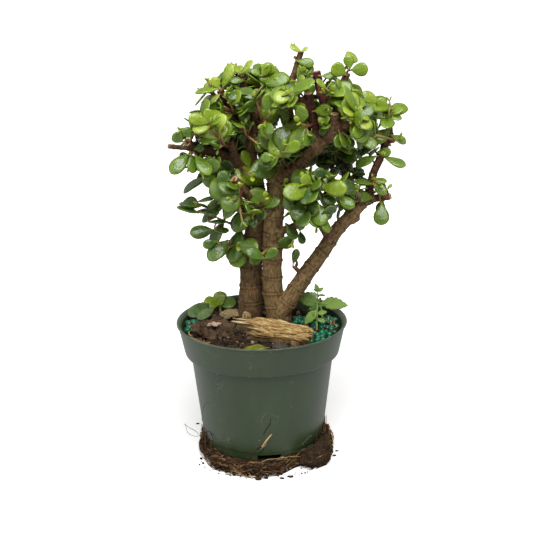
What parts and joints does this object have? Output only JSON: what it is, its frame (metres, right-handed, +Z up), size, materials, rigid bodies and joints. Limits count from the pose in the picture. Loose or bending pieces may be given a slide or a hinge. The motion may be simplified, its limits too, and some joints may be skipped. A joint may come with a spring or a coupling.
{
  "type": "potted jade plant",
  "caption": "Dwarf jade shrub with pruned brown trunks and round fleshy leaves, in a green plastic nursery pot with soil, a wood chip and roots at its foot.",
  "frame": {"origin": "On the pot's axis, on the surface that the root mat lies on.", "axes": "+Z is up, +X is to the right in the picture, and +Y points away from the viewer."},
  "size_m": [0.226, 0.1793, 0.3929],
  "materials": {
    "green_plastic": "satin",
    "bark": "matte",
    "jade_leaf": "satin",
    "potting_soil": "matte",
    "pale_wood": "matte",
    "bark_crumb": "matte",
    "dark_stone": "matte",
    "fertiliser": "satin",
    "weed_leaf": "satin",
    "shed_leaf": "matte",
    "yellow_leaf": "matte",
    "roots": "matte"
  },
  "bodies": {
    "root": {"pot": "green_plastic", "trunk_left": "bark", "trunk_right": "bark", "soil": "potting_soil", "spray_01": "jade_leaf", "spray_02": "jade_leaf", "spray_03": "jade_leaf", "spray_04": "jade_leaf", "spray_05": "jade_leaf", "spray_06": "jade_leaf", "spray_07": "jade_leaf", "spray_08": "jade_leaf", "spray_09": "jade_leaf", "spray_10": "jade_leaf", "spray_11": "jade_leaf", "spray_12": "jade_leaf", "spray_13": "jade_leaf", "spray_14": "jade_leaf", "spray_15": "jade_leaf", "spray_16": "jade_leaf", "spray_17": "jade_leaf", "spray_18": "jade_leaf", "spray_19": "jade_leaf", "spray_20": "jade_leaf", "spray_21": "jade_leaf", "spray_22": "jade_leaf", "spray_23": "jade_leaf", "spray_24": "jade_leaf", "spray_25": "jade_leaf", "spray_26": "jade_leaf", "spray_27": "jade_leaf", "spray_28": "jade_leaf", "spray_29": "jade_leaf", "spray_30": "jade_leaf", "spray_31": "jade_leaf", "spray_32": "jade_leaf", "spray_33": "jade_leaf", "spray_34": "jade_leaf", "spray_35": "jade_leaf", "spray_36": "jade_leaf", "spray_37": "jade_leaf", "spray_38": "jade_leaf", "spray_39": "jade_leaf", "spray_40": "jade_leaf", "wood_chip": "pale_wood", "bark_clod": "bark_crumb", "dark_stone": "dark_stone", "tan_chip": "bark_crumb", "prills_1": "fertiliser", "prills_2": "fertiliser", "prills_3": "fertiliser", "prills_4": "fertiliser", "weed_tall": "weed_leaf", "weed_leafy": "weed_leaf", "seedling": "jade_leaf", "fallen_leaf_1": "shed_leaf", "fallen_leaf_2": "shed_leaf", "yellow_leaf": "yellow_leaf", "root_mat": "roots", "root_clod": "roots"}
  },
  "joints": []
}
